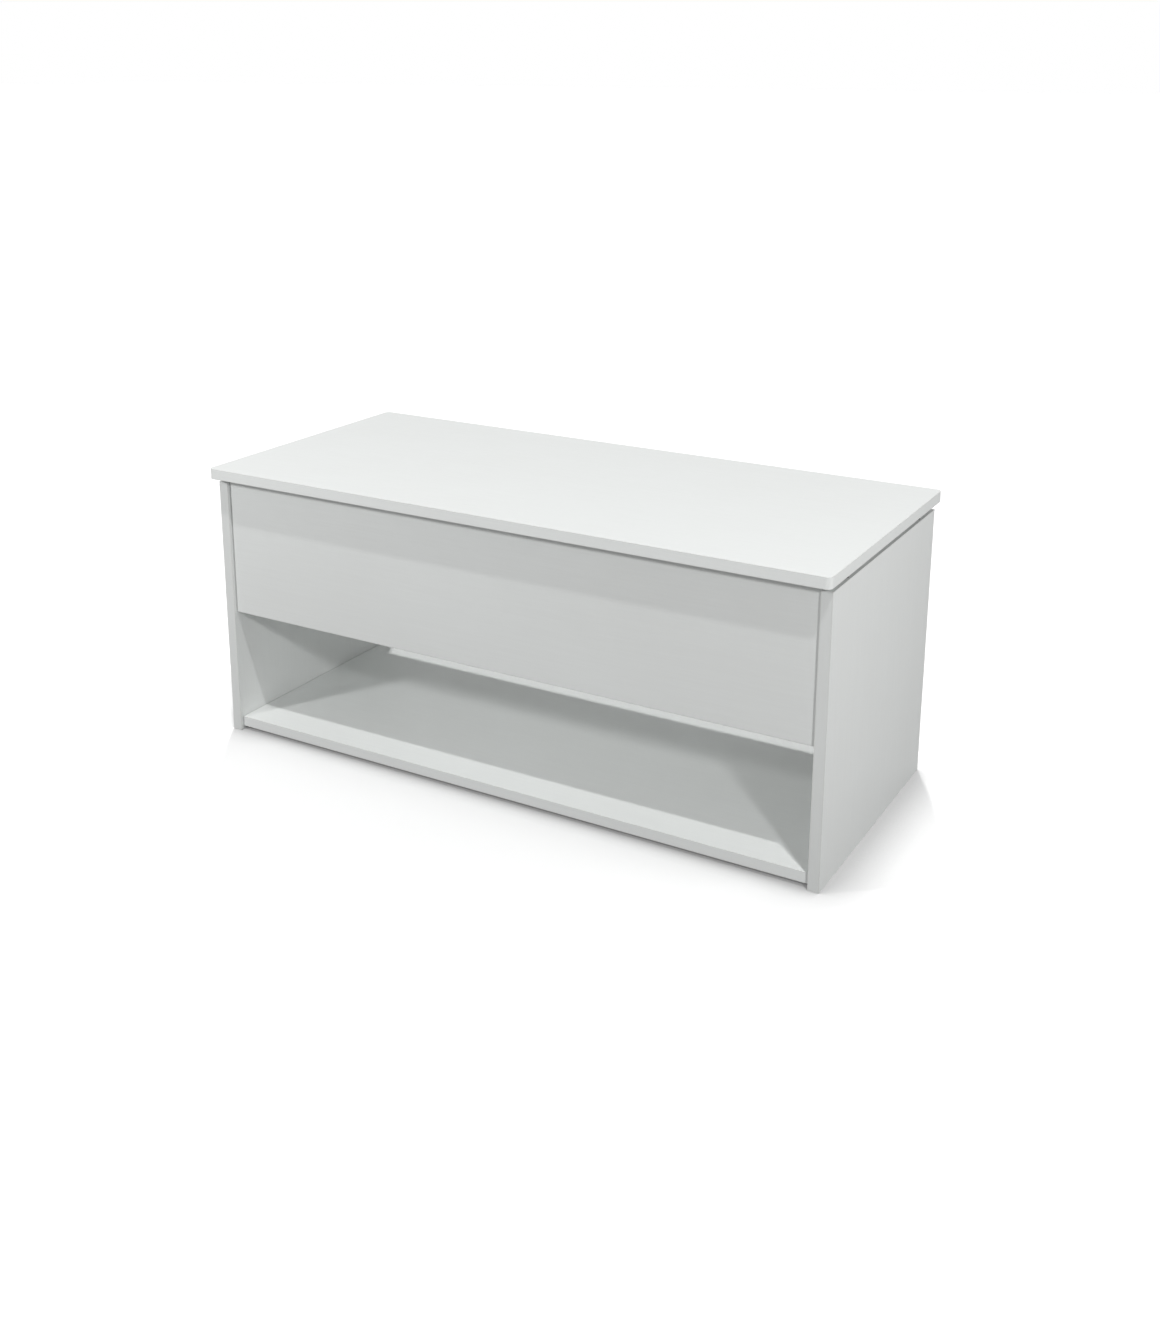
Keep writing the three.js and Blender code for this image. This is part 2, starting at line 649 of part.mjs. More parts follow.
addBoards();
for (const [name, side] of Object.entries(sides)) {
  addHinge(name, side);
  addSideFittings(name, side);
}

export default table;
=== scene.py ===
"""The looks of a white lift top coffee table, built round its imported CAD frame.

Metres, +Z up, front towards -Y. The boards, brackets and arms are the CAD nodes with rounded edges and
materials. The small hardware is modelled here in full and stands for its plain CAD nodes.
"""

import json
import math

import bmesh
import bpy
from mathutils import Matrix, Vector

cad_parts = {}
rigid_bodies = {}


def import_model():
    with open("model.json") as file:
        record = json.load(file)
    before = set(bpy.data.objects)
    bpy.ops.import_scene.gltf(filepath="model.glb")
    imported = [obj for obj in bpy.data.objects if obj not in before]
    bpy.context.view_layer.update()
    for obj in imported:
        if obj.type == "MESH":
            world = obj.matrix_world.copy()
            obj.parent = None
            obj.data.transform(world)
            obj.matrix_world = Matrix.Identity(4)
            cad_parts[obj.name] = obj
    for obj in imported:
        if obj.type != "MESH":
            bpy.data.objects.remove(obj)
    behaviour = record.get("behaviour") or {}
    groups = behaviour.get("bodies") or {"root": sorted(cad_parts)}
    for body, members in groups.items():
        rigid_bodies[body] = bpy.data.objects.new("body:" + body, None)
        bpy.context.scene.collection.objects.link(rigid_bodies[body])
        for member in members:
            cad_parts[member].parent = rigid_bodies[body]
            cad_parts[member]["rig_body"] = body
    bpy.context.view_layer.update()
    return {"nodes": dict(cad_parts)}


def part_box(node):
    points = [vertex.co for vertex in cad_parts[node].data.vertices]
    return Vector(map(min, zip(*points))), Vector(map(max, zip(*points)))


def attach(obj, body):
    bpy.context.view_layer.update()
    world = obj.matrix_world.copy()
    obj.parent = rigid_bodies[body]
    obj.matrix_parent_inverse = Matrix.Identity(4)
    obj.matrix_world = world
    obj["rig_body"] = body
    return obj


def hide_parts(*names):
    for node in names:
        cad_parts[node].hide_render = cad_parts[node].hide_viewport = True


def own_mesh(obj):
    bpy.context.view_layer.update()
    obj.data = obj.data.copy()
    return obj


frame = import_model()

# ---------------------------------------------------------------- sizes

MM = 0.001
SIDES = {"left": -1, "right": 1}

BOARD_ROUNDING = 0.7 * MM
LID_ROUNDING = 1.2 * MM
STEEL_ROUNDING = 0.35 * MM
WELD_DISTANCE = 0.001 * MM
SLIVER = 0.004 * MM                # a rounded node's faces narrower than this are closed
SHARP_ANGLE = math.radians(40)     # steeper edges than this are rounded, so fine facets are left alone
FLAT_ANGLE = math.radians(0.5)
ROUNDING_SEGMENTS = 3
BROAD_FACE_WEIGHT = 80             # how far broad faces lead the shading of the edges beside them

TURNED_STEPS = 40                  # round a turned piece
CORNER_STEPS = 4                   # round a rounded corner of an outline
CORNER_ROOM = 0.45                 # the most of a side that a rounded corner may take

BRACKET_STEEL = 2.5 * MM
ARM_STEEL = 3 * MM

PIN_RADIUS = 4 * MM
PIN_PLAY = 0.2 * MM
PIN_HEAD = 2 * MM
PIN_HEAD_RADIUS = 7 * MM
PIN_DIMPLE = 0.5 * MM

POST_RADIUS = 3 * MM
POST_GROOVE_RADIUS = 2.2 * MM
POST_GROOVE = 4 * MM
POST_FLANGE = 2 * MM
POST_FLANGE_RADIUS = 5 * MM
POST_DIMPLE = 0.6 * MM

SPRING_WIRE_RADIUS = 0.8 * MM
SPRING_TURNS = 37
SPRING_TURN_STEPS = 20
SPRING_WIRE_SIDES = 8
SPRING_TAIL = 9 * MM               # from a post to the first turn of the coil
SPRING_TAIL_GAP = 4.6 * MM         # from a post to the tail's end, so the coil may shorten
SPRING_TAIL_BEND = 2.2 * MM        # from a straight tail to the turns
SPRING_TAIL_STEPS = 4
SPRING_OPENING_STEPS = 10          # over which the end turns open to the full radius
SPRING_EYE_STEPS = 32
SPRING_EYE_SIDES = 10
SPRING_EYE_PLAY = 0.1 * MM

SCREW_HEAD = 2.2 * MM
SCREW_HEAD_RADIUS = 4 * MM
SCREW_CREST_RADIUS = 1.75 * MM
SCREW_ROOT_RADIUS = 1.2 * MM
SCREW_PITCH = 1.6 * MM
SCREW_RINGS_PER_TURN = 10
SCREW_POINT = 3 * MM
SCREW_TIP_SHARE = 0.06             # the tip's radius, as a share of the thread's
SCREW_CROSS = 4.4 * MM
SCREW_CROSS_WIDTH = 1 * MM
SCREW_CROSS_DEPTH = 0.4 * MM       # below the seat

CAM_RADIUS = 7.5 * MM
CAM_DEPTH = 12 * MM
CAM_INSET = 30 * MM                # cam centre from a board's end
CAM_FLOAT = 0.25 * MM              # extra cams stand this far out of the board
CAM_RIM = 1 * MM
CAM_FACE = 0.5 * MM                # below the rim
CAM_CROSS = 8.6 * MM
CAM_CROSS_WIDTH = 1.7 * MM
CAM_CROSS_DEPTH = 3.2 * MM
CAM_PLACES = {"front": 0.16, "back": 0.84}   # extra cams, as a share of their board's depth

BUMPER_SEAT = 0.3 * MM             # the head stands this far off the panel's top edge
BUMPER_DIMPLE = 0.4 * MM
GLIDE_SEAT = 0.3 * MM              # the pad stands this far off the shelf
GLIDE_NAIL_RADIUS = 1 * MM

POLE = 0.05 * MM                   # the least radius at the middle of a turned end
PUNCH_ROOM = 1 * MM                # how far a punch stands out of what it cuts

# ---------------------------------------------------------------- mesh tools


def ring(radius, height, steps=TURNED_STEPS):
    """Points round the Z axis. The radius is a number, or a function of the turn from 0 to 1."""
    points = []
    for i in range(steps):
        turn = i / steps
        reach = radius(turn) if callable(radius) else radius
        angle = 2 * math.pi * turn
        points.append(Vector((reach * math.cos(angle), reach * math.sin(angle), height)))
    return points


def skinned(rings):
    """A closed solid through rings that have as many points each."""
    made = bmesh.new()
    rows = [[made.verts.new(point) for point in points] for points in rings]
    for low, high in zip(rows, rows[1:]):
        for i in range(len(low)):
            j = (i + 1) % len(low)
            made.faces.new((low[i], low[j], high[j], high[i]))
    made.faces.new(rows[0])
    made.faces.new(rows[-1])
    bmesh.ops.recalc_face_normals(made, faces=made.faces)
    return made


def rounded_outline(corners):
    """An outline of (radius, height, rounding) corners with each corner turned into an arc."""
    points = [Vector((radius, height)) for radius, height, _ in corners]
    outline = [points[0]]
    for before, here, after, corner in zip(points, points[1:], points[2:], corners[1:]):
        to_before = before - here
        to_after = after - here
        reach = min(corner[2], CORNER_ROOM * to_before.length, CORNER_ROOM * to_after.length)
        if reach <= 0:
            outline.append(here)
            continue
        start = here + to_before.normalized() * reach
        end = here + to_after.normalized() * reach
        for step in range(CORNER_STEPS + 1):
            share = step / CORNER_STEPS
            outline.append(start.lerp(here, share).lerp(here.lerp(end, share), share))
    outline.append(points[-1])
    return outline


def turned(corners, steps=TURNED_STEPS):
    """A solid turned about Z from (radius, height, rounding) corners."""
    return skinned([ring(point.x, point.y, steps) for point in rounded_outline(corners)])


def swept(path, radius, sides):
    """A round wire along a path of points."""
    rings = []
    across = (path[1] - path[0]).orthogonal().normalized()
    for i, point in enumerate(path):
        along = (path[min(i + 1, len(path) - 1)] - path[max(i - 1, 0)]).normalized()
        across = (across - along * across.dot(along)).normalized()
        other = along.cross(across)
        angles = [2 * math.pi * side / sides for side in range(sides)]
        rings.append([point + radius * (across * math.cos(a) + other * math.sin(a)) for a in angles])
    return skinned(rings)


def closed_ring(radius, wire_radius, steps, sides):
    """A closed wire ring round the X axis."""
    made = bmesh.new()
    rows = []
    for i in range(steps):
        angle = 2 * math.pi * i / steps
        out = Vector((0, math.cos(angle), math.sin(angle)))
        row = []
        for side in range(sides):
            turn = 2 * math.pi * side / sides
            reach = radius + wire_radius * math.cos(turn)
            sideways = Vector((wire_radius * math.sin(turn), 0, 0))
            row.append(made.verts.new(out * reach + sideways))
        rows.append(row)
    for i, row in enumerate(rows):
        after = rows[(i + 1) % steps]
        for side in range(sides):
            nearby = (side + 1) % sides
            made.faces.new((row[side], row[nearby], after[nearby], after[side]))
    bmesh.ops.recalc_face_normals(made, faces=made.faces)
    return made


def cross_cutter(span, width, depth, above, taper=0.6):
    """A cross-shaped punch about Z, from `above` down to `depth` under the origin, tapered to there."""
    half = width / 2
    arm = span / 2
    outline = [
        (arm, -half), (arm, half), (half, half), (half, arm), (-half, arm), (-half, half),
        (-arm, half), (-arm, -half), (-half, -half), (-half, -arm), (half, -arm), (half, -half),
    ]
    top = [Vector((x, y, above)) for x, y in outline]
    bottom = [Vector((x * taper, y * taper, -depth)) for x, y in outline]
    return skinned([bottom, top])


def to_mesh(name, shape):
    """A Blender mesh of a bmesh, which is freed, without faces that have no area."""
    bmesh.ops.remove_doubles(shape, verts=shape.verts, dist=WELD_DISTANCE)
    bmesh.ops.dissolve_degenerate(shape, dist=WELD_DISTANCE, edges=shape.edges)
    mesh = bpy.data.meshes.new(name)
    shape.to_mesh(mesh)
    shape.free()
    for polygon in mesh.polygons:
        polygon.use_smooth = True
    return mesh


def drop_folded(shape):
    """Deletes faces that lie back to back on the same corners."""
    by_corners = {}
    for face in shape.faces:
        by_corners.setdefault(frozenset(face.verts), []).append(face)
    folded = [face for faces in by_corners.values() if len(faces) > 1 for face in faces]
    bmesh.ops.delete(shape, geom=folded, context="FACES_ONLY")


def carved(name, shape, cutter):
    """The mesh of `shape` with `cutter` taken out of it."""
    solid = bpy.data.objects.new(name, to_mesh(name, shape))
    tool = bpy.data.objects.new(name + "_cutter", to_mesh(name + "_cutter", cutter))
    for each in (solid, tool):
        bpy.context.scene.collection.objects.link(each)
    cut = solid.modifiers.new("cut", "BOOLEAN")
    cut.operation = "DIFFERENCE"
    cut.solver = "EXACT"
    cut.object = tool
    evaluated = solid.evaluated_get(bpy.context.evaluated_depsgraph_get())
    result = bmesh.new()
    result.from_mesh(evaluated.to_mesh())
    evaluated.to_mesh_clear()
    for each in (solid, tool):
        bpy.data.objects.remove(each)
    bmesh.ops.triangulate(result, faces=result.faces)
    drop_folded(result)
    return to_mesh(name, result)


def even_normals(piece):
    """Keeps broad faces flat to the eye and blends the light over rounded edges."""
    weighted = piece.modifiers.new("even_normals", "WEIGHTED_NORMAL")
    weighted.keep_sharp = False
    weighted.weight = BROAD_FACE_WEIGHT


def placed(name, mesh, origin, direction, body, material):
    """A piece from a mesh whose +Z axis is turned to `direction`."""
    piece = bpy.data.objects.new(name, mesh)
    bpy.context.scene.collection.objects.link(piece)
    turn = Vector((0, 0, 1)).rotation_difference(Vector(direction)).to_matrix().to_4x4()
    piece.matrix_world = Matrix.Translation(origin) @ turn
    piece.data.materials.clear()
    piece.data.materials.append(material)
    even_normals(piece)
    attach(piece, body)
    return piece


def smooth_faces_group():
    """A node group that shades every face smoothly."""
    group = bpy.data.node_groups.new("smooth_faces", "GeometryNodeTree")
    group.interface.new_socket("Geometry", in_out="INPUT", socket_type="NodeSocketGeometry")
    group.interface.new_socket("Geometry", in_out="OUTPUT", socket_type="NodeSocketGeometry")
    start = group.nodes.new("NodeGroupInput")
    smooth = group.nodes.new("GeometryNodeSetShadeSmooth")
    end = group.nodes.new("NodeGroupOutput")
    group.links.new(start.outputs[0], smooth.inputs["Geometry"])
    group.links.new(smooth.outputs[0], end.inputs[0])
    return group


smooth_faces = smooth_faces_group()


def rounded_node(name, rounding, material):
    """Rounds a CAD node's edges with modifiers and gives it a material."""
    node = frame["nodes"][name]
    node.data.materials.clear()
    node.data.materials.append(material)
    weld = node.modifiers.new("weld", "WELD")
    weld.merge_threshold = WELD_DISTANCE
    flatten = node.modifiers.new("one_face_per_side", "DECIMATE")
    flatten.decimate_type = "DISSOLVE"
    flatten.angle_limit = FLAT_ANGLE
    smooth = node.modifiers.new("smooth", "NODES")
    smooth.node_group = smooth_faces
    bevel = node.modifiers.new("rounding", "BEVEL")
    bevel.width = rounding
    bevel.segments = ROUNDING_SEGMENTS
    bevel.limit_method = "ANGLE"
    bevel.angle_limit = SHARP_ANGLE
    slivers = node.modifiers.new("no_slivers", "WELD")
    slivers.merge_threshold = SLIVER
    even_normals(node)


# ---------------------------------------------------------------- material tools


def add(tree, kind, inputs=None, **settings):
    """A shader node. Inputs are values or sockets by name or number, settings are its own options."""
    made = tree.nodes.new(kind)
    for key, value in settings.items():
        setattr(made, key, value)
    for key, value in (inputs or {}).items():
        socket = made.inputs[key]
        if isinstance(value, bpy.types.NodeSocket):
            tree.links.new(value, socket)
        else:
            socket.default_value = value
    return made


def started(name, seed):
    """A new material: its tree, its shader, and its pattern's place in metres, moved by the seed."""
    material = bpy.data.materials.new(name)
    material.use_nodes = True
    tree = material.node_tree
    shader = tree.nodes["Principled BSDF"]
    coordinates = add(tree, "ShaderNodeTexCoord")
    place = add(tree, "ShaderNodeMapping", {
        "Vector": coordinates.outputs["Object"],
        "Location": (0.37 * seed, 0.61 * seed, 0.23 * seed),
    })
    return material, tree, shader, place.outputs["Vector"]


def noise(tree, place, scale, detail=2.0, roughness=0.5):
    """A noise value about 0.5, with `scale` cells in a metre."""
    made = add(tree, "ShaderNodeTexNoise", {
        "Vector": place, "Scale": scale, "Detail": detail, "Roughness": roughness,
    })
    return made.outputs["Fac"]


def stretched(tree, place, scales):
    """The place with each axis scaled, for patterns that run one way."""
    return add(tree, "ShaderNodeMapping", {"Vector": place, "Scale": scales}).outputs["Vector"]


def spread(tree, value, low, high, new_low, new_high):
    """The value moved from one range to another, and held inside it."""
    made = add(tree, "ShaderNodeMapRange", {
        "Value": value, "From Min": low, "From Max": high, "To Min": new_low, "To Max": new_high,
    })
    return made.outputs["Result"]


def compute(tree, operation, first, second=0.0):
    """One sum on two values."""
    return add(tree, "ShaderNodeMath", {0: first, 1: second}, operation=operation).outputs[0]


def mixed(tree, share, first, second):
    """A colour between two colours."""
    made = add(tree, "ShaderNodeMix", {0: share, 6: first, 7: second}, data_type="RGBA")
    return made.outputs[2]


def brightened(tree, colour, share):
    """A colour times a number."""
    made = add(tree, "ShaderNodeVectorMath", {0: colour, "Scale": share}, operation="SCALE")
    return made.outputs[0]


def bumped(tree, height, strength, distance, under=None):
    """A surface normal raised by a height pattern, over an earlier one."""
    inputs = {"Height": height, "Strength": strength, "Distance": distance}
    if under is not None:
        inputs["Normal"] = under
    return add(tree, "ShaderNodeBump", inputs).outputs["Normal"]


def feed(tree, shader, **sockets):
    """Sets or links the shader's sockets; an underscore stands for a space."""
    for key, value in sockets.items():
        socket = shader.inputs[key.replace("_", " ")]
        if isinstance(value, bpy.types.NodeSocket):
            tree.links.new(value, socket)
        else:
            socket.default_value = value


def edge_distance(tree, node_name):
    """On a board's faces, the distance to the face's nearest edge."""
    low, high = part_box(node_name)
    coordinates = add(tree, "ShaderNodeTexCoord").outputs["Object"]
    middle = tuple((low + high) / 2)
    half = tuple((high - low) / 2)
    from_middle = add(tree, "ShaderNodeVectorMath", {0: coordinates, 1: middle}, operation="SUBTRACT")
    away = add(tree, "ShaderNodeVectorMath", {0: from_middle.outputs[0]}, operation="ABSOLUTE")
    inside = add(tree, "ShaderNodeVectorMath", {0: half, 1: away.outputs[0]}, operation="SUBTRACT")
    axes = add(tree, "ShaderNodeSeparateXYZ", {0: inside.outputs[0]})
    x, y, z = (axes.outputs[i] for i in range(3))
    total = compute(tree, "ADD", compute(tree, "ADD", x, y), z)
    least = compute(tree, "MINIMUM", compute(tree, "MINIMUM", x, y), z)
    most = compute(tree, "MAXIMUM", compute(tree, "MAXIMUM", x, y), z)
    return compute(tree, "SUBTRACT", compute(tree, "SUBTRACT", total, least), most)


def on_band(tree, node_name):
    """1 on a board's narrow sides and 0 on its two broad faces."""
    low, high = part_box(node_name)
    size = high - low
    thin = min(range(3), key=lambda axis: size[axis])
    normal = add(tree, "ShaderNodeTexCoord").outputs["Normal"]
    axes = add(tree, "ShaderNodeSeparateXYZ", {0: normal})
    return compute(tree, "SUBTRACT", 1.0, compute(tree, "ABSOLUTE", axes.outputs[thin]))


# ---------------------------------------------------------------- materials

BOARD_WHITE = (0.801, 0.820, 0.810, 1)
BOARD_SHADE = (0.776, 0.792, 0.781, 1)
BAND_SEAM = (0.50, 0.50, 0.47, 1)
EDGE_GRIME = (0.60, 0.60, 0.56, 1)
BAND_THICKNESS = 0.8 * MM

# how white each board is painted: its broad faces, its edge bands. The face values are painted light,
# making boards of one melamine brighter or darker to match the light on each; the band values are partly
# the bands' own greyer tint and partly painted light and shade
USUAL_TINTS_AND_PAINTED_LIGHT = (1.0, 0.93)
BOARD_TINTS_AND_PAINTED_LIGHT = {
    "lift_top": (0.90, 1.02),
    "front_panel": (0.96, 0.93),
    "bottom_shelf": (1.10, 1.04),
}


def white_board(node_name, grain, seed):
    """White melamine: faint pearl and fibre, fine orange peel, banded edges, light handling marks, and
    painted light that makes each board brighter or darker.
    """
    material, tree, shader, place = started("melamine_" + node_name, seed)
    scales = {"x": (0.04, 1, 1), "y": (1, 0.04, 1), "z": (1, 1, 0.04)}[grain]
    fibre = noise(tree, stretched(tree, place, scales), 260, 3, 0.6)
    cloud = noise(tree, place, 3.1, 3, 0.55)
    fleck = noise(tree, place, 95, 2, 0.5)
    fibre_share = compute(tree, "MULTIPLY", fibre, 0.35)
    cloud_share = compute(tree, "MULTIPLY", cloud, 0.65)
    shade = compute(tree, "ADD", fibre_share, cloud_share)
    colour = mixed(tree, spread(tree, shade, 0.38, 0.62, 0, 1), BOARD_WHITE, BOARD_SHADE)

    distance = edge_distance(tree, node_name)
    off_seam = compute(tree, "ABSOLUTE", compute(tree, "SUBTRACT", distance, BAND_THICKNESS))
    seam = spread(tree, off_seam, 0.04 * MM, 0.16 * MM, 0.35, 0)
    colour = mixed(tree, seam, colour, BAND_SEAM)
    handled = compute(tree, "MULTIPLY", spread(tree, distance, 0, 2.2 * MM, 0.30, 0), fleck)
    colour = mixed(tree, handled, colour, EDGE_GRIME)
    # painted light: each board's faces and edge bands are made brighter or darker to match the light on
    # it, and the bands also carry their own greyer tint
    face_painted_light, band_tint_and_painted_light = BOARD_TINTS_AND_PAINTED_LIGHT.get(node_name, USUAL_TINTS_AND_PAINTED_LIGHT)
    tint_and_painted_brightness = spread(tree, on_band(tree, node_name), 0.3, 0.7, face_painted_light, band_tint_and_painted_light)
    colour = brightened(tree, colour, tint_and_painted_brightness)

    peel = noise(tree, place, 720, 2, 0.5)
    sag = noise(tree, place, 26, 1, 0.4)
    normal = bumped(tree, sag, 0.10, 0.25 * MM)
    normal = bumped(tree, fibre, 0.05, 0.04 * MM, normal)
    normal = bumped(tree, peel, 0.16, 0.05 * MM, normal)
    half_fleck = compute(tree, "MULTIPLY", fleck, 0.5)
    rough = spread(tree, compute(tree, "ADD", cloud, half_fleck), 0.5, 1.0, 0.36, 0.50)
    feed(tree, shader, Base_Color=colour, Roughness=rough, Normal=normal)
    return material


def powder_coat():
    """Black powder coat: fine grain over an orange peel, with rubbed spots and a little dust."""
    material, tree, shader, place = started("black_powder_coat", 1)
    grain = noise(tree, place, 1900, 2, 0.6)
    peel = noise(tree, place, 420, 2, 0.5)
    cloud = noise(tree, place, 38, 3, 0.6)
    rubbed = spread(tree, noise(tree, place, 160, 4, 0.7), 0.66, 0.74, 0, 0.55)
    dust = spread(tree, cloud, 0.50, 0.72, 0, 0.16)
    colour = mixed(tree, dust, (0.014, 0.014, 0.015, 1), (0.16, 0.155, 0.15, 1))
    colour = mixed(tree, rubbed, colour, (0.045, 0.046, 0.048, 1))
    rough = spread(tree, compute(tree, "ADD", cloud, grain), 0.6, 1.4, 0.38, 0.58)
    normal = bumped(tree, peel, 0.22, 0.12 * MM)
    normal = bumped(tree, grain, 0.20, 0.05 * MM, normal)
    feed(tree, shader, Base_Color=colour, Roughness=rough, Normal=normal)
    return material


def zinc_plate():
    """Bright zinc: turning marks round the axis, a clouded passivation and small dull spots."""
    material, tree, shader, place = started("zinc_plate", 0)
    lathe_marks = add(tree, "ShaderNodeTexWave", {
        "Vector": place, "Scale": 620, "Distortion": 1.5, "Detail": 2, "Detail Scale": 1.5,
    }, wave_type="RINGS", rings_direction="Z")
    cloud = noise(tree, place, 210, 3, 0.6)
    spots = spread(tree, noise(tree, place, 900, 2, 0.5), 0.60, 0.70, 0, 1)
    colour = mixed(tree, cloud, (0.63, 0.65, 0.67, 1), (0.55, 0.55, 0.53, 1))
    colour = mixed(tree, compute(tree, "MULTIPLY", spots, 0.35), colour, (0.34, 0.34, 0.33, 1))
    dull = compute(tree, "MULTIPLY", spots, 0.3)
    rough = spread(tree, compute(tree, "ADD", cloud, dull), 0.35, 0.95, 0.24, 0.48)
    normal = bumped(tree, lathe_marks.outputs["Fac"], 0.12, 0.03 * MM)
    feed(tree, shader, Base_Color=colour, Metallic=1.0, Roughness=rough, Normal=normal)
    return material


def spring_wire():
    """Drawn spring wire: dark oiled steel with fine draw marks."""
    material, tree, shader, place = started("spring_wire", 2)
    draw = noise(tree, stretched(tree, place, (1, 6, 1)), 900, 2, 0.6)
    cloud = noise(tree, place, 120, 3, 0.6)
    colour = mixed(tree, cloud, (0.30, 0.30, 0.31, 1), (0.17, 0.165, 0.16, 1))
    rough = spread(tree, compute(tree, "ADD", cloud, draw), 0.6, 1.4, 0.22, 0.42)
    normal = bumped(tree, draw, 0.15, 0.02 * MM)
    feed(tree, shader, Base_Color=colour, Metallic=1.0, Roughness=rough, Normal=normal)
    return material


def dark_rubber():
    """Dark rubber with a dusty bloom."""
    material, tree, shader, place = started("dark_rubber", 3)
    bloom = spread(tree, noise(tree, place, 330, 3, 0.6), 0.40, 0.75, 0, 0.45)
    grain = noise(tree, place, 2600, 2, 0.6)
    colour = mixed(tree, bloom, (0.020, 0.020, 0.021, 1), (0.085, 0.083, 0.080, 1))
    rough = spread(tree, grain, 0.3, 0.7, 0.70, 0.88)
    normal = bumped(tree, grain, 0.25, 0.05 * MM)
    feed(tree, shader, Base_Color=colour, Roughness=rough, Normal=normal)
    return material


def black_plastic():
    """Moulded black plastic: a fine spark-eroded grain, scuffed."""
    material, tree, shader, place = started("black_plastic", 4)
    grain = noise(tree, place, 3200, 2, 0.6)
    strokes = noise(tree, stretched(tree, place, (1, 5, 1)), 260, 3, 0.7)
    scuff = spread(tree, strokes, 0.55, 0.72, 0, 0.5)
    colour = mixed(tree, scuff, (0.016, 0.016, 0.017, 1), (0.070, 0.070, 0.072, 1))
    rough = spread(tree, compute(tree, "ADD", grain, scuff), 0.4, 1.1, 0.42, 0.66)
    normal = bumped(tree, grain, 0.22, 0.03 * MM)
    feed(tree, shader, Base_Color=colour, Roughness=rough, Normal=normal)
    return material


# ---------------------------------------------------------------- boards and steel plates


def dress_boards():
    """Gives each board its rounded edges and its own melamine."""
    grains = {
        "lift_top": "x", "front_panel": "x", "back_panel": "x", "compartment_floor": "x",
        "bottom_shelf": "x", "side_panel_left": "z", "side_panel_right": "z",
    }
    for seed, (name, grain) in enumerate(grains.items(), start=1):
        rounding = LID_ROUNDING if name == "lift_top" else BOARD_ROUNDING
        rounded_node(name, rounding, white_board(name, grain, seed))


def dress_plates(material):
    """Gives the arms and brackets their rounded edges and their coat."""
    for side in SIDES:
        for part in ("base_bracket", "lid_bracket", "front_arm", "rear_arm"):
            rounded_node(f"{part}_{side}", STEEL_ROUNDING, material)


# ---------------------------------------------------------------- turned hardware


def stand_in(node_name, mesh, origin, direction, material):
    """A detailed piece that stands for a CAD node and rides on its body."""
    body = frame["nodes"][node_name]["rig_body"]
    piece = placed(node_name + "_detail", mesh, origin, direction, body, material)
    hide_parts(node_name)
    return piece


def cross_axis(node_name, side):
    """For a pin or post across the hinge: its outer end's centre, the inward direction and its length."""
    low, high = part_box(node_name)
    middle = (low + high) / 2
    sign = SIDES[side]
    outer = high.x if sign > 0 else low.x
    return Vector((outer, middle.y, middle.z)), Vector((-sign, 0, 0)), high.x - low.x


def pin_mesh(name, washers, length, heads):
    """A riveted pin along Z: washers and heads are (start, end) stretches at the head's full radius."""
    corners = [(0, 0, 0)]
    for start, end in sorted(washers + heads):
        domed = (start, end) in heads
        if start > 0:
            corners += [(PIN_RADIUS, start, 0)]
        if domed and end >= length:
            corners += [
                (PIN_HEAD_RADIUS, start, 0.3 * MM),
                (PIN_HEAD_RADIUS, start + 0.8 * MM, 0.7 * MM),
                (PIN_RADIUS, end, 1.2 * MM),
                (2.0 * MM, end, 0.3 * MM),
                (1.4 * MM, end - PIN_DIMPLE, 0.3 * MM),
            ]
        else:
            corners += [
                (PIN_HEAD_RADIUS, start, 0.25 * MM),
                (PIN_HEAD_RADIUS, end, 0.25 * MM),
                (PIN_RADIUS, end, 0),
            ]
    last_height = corners[-1][1]
    corners.append((0, last_height, 0))
    return to_mesh(name, turned(corners))


def add_pins(material):
    """The eight riveted pivot pins."""
    for side in SIDES:
        arm_low, arm_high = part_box(f"rear_arm_{side}")
        arm_outer = max(abs(arm_low.x), abs(arm_high.x))
        arm_inner = min(abs(arm_low.x), abs(arm_high.x))
        for place in ("front", "rear"):
            name = f"base_pin_{place}_{side}"
            origin, inward, length = cross_axis(name, side)
            outer = abs(origin.x)
            washer = (BRACKET_STEEL + PIN_PLAY, outer - arm_outer - PIN_PLAY)
            head = (outer - arm_inner + PIN_PLAY, length)
            mesh = pin_mesh(name + "_detail", [washer], length, [head])
            stand_in(name, mesh, origin, inward, material)

            name = f"lid_pin_{place}_{side}"
            origin, inward, length = cross_axis(name, side)
            outer = abs(origin.x)
            head = (0.0, outer - arm_outer - PIN_PLAY)
            formed = (length - PIN_HEAD, length)
            washer = (outer - arm_inner + PIN_PLAY, length - PIN_HEAD - BRACKET_STEEL - 2 * PIN_PLAY)
            mesh = pin_mesh(name + "_detail", [head, washer], length, [formed])
            stand_in(name, mesh, origin, inward, material)


